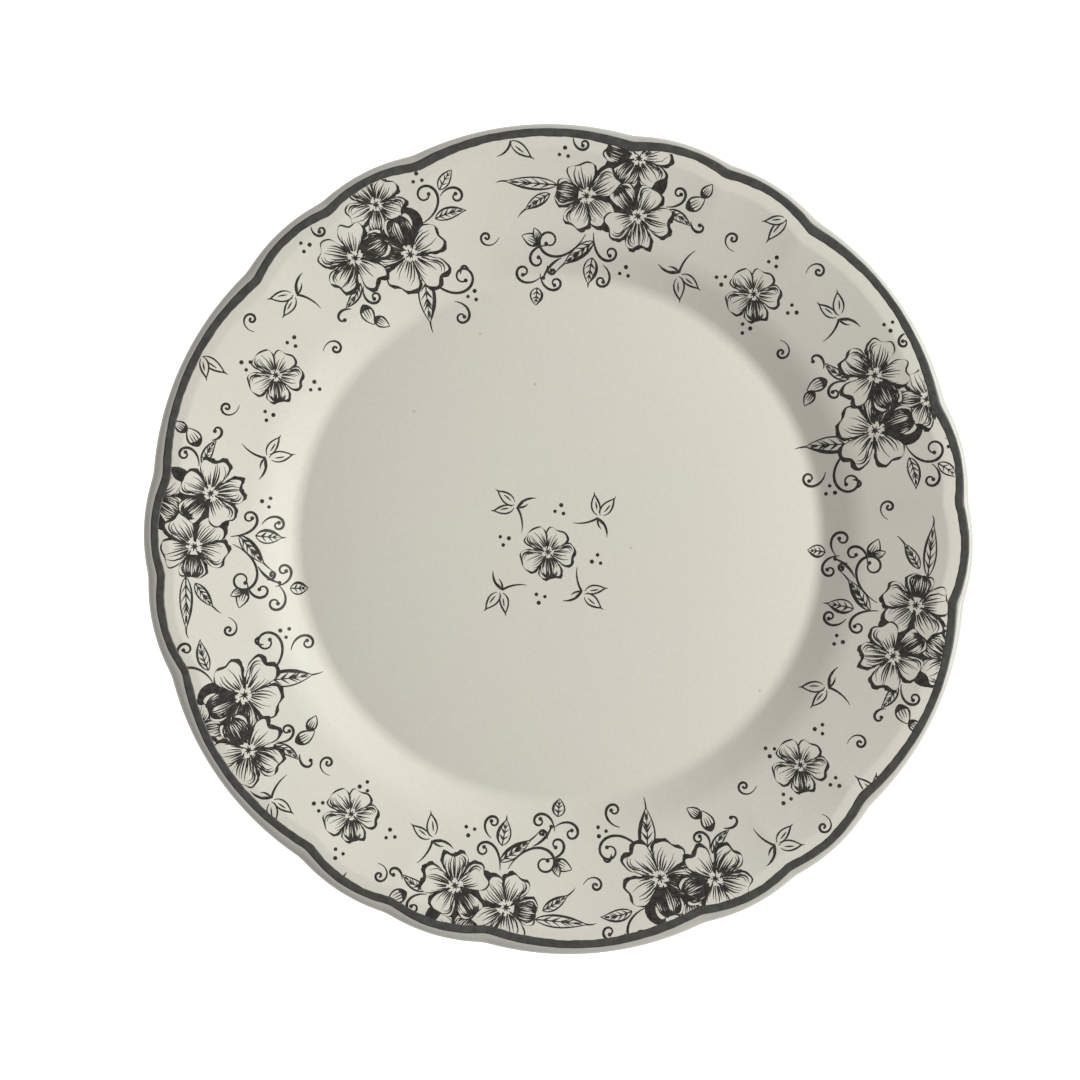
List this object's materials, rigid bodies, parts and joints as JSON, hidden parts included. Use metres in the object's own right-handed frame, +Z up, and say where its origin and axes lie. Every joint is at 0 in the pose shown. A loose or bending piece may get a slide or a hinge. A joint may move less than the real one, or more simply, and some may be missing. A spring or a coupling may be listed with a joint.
{
  "type": "dinner plate",
  "caption": "Round china dinner plate with a scalloped rim, a broad sloping flange, a sunk well and a turned foot ring, glazed all over but for the foot's tip.",
  "frame": {"origin": "centre of the foot ring's contact circle, on the surface that the plate stands on", "axes": "+Z up out of the well along the turning axis, +X through a shallow notch of the scalloped rim, +Y through the crest of a large lobe"},
  "size_m": [0.2684, 0.27, 0.0198],
  "materials": {
    "bare_china": "matte, fired, unglazed",
    "clear_glaze": "gloss, clear, faintly warm",
    "rim_pigment": "near-black ceramic colour under the glaze"
  },
  "bodies": {
    "root": {"china_body": "bare_china", "rim_line": "rim_pigment", "glaze_coat": "clear_glaze", "foot_recess_glaze": "clear_glaze"}
  },
  "joints": []
}
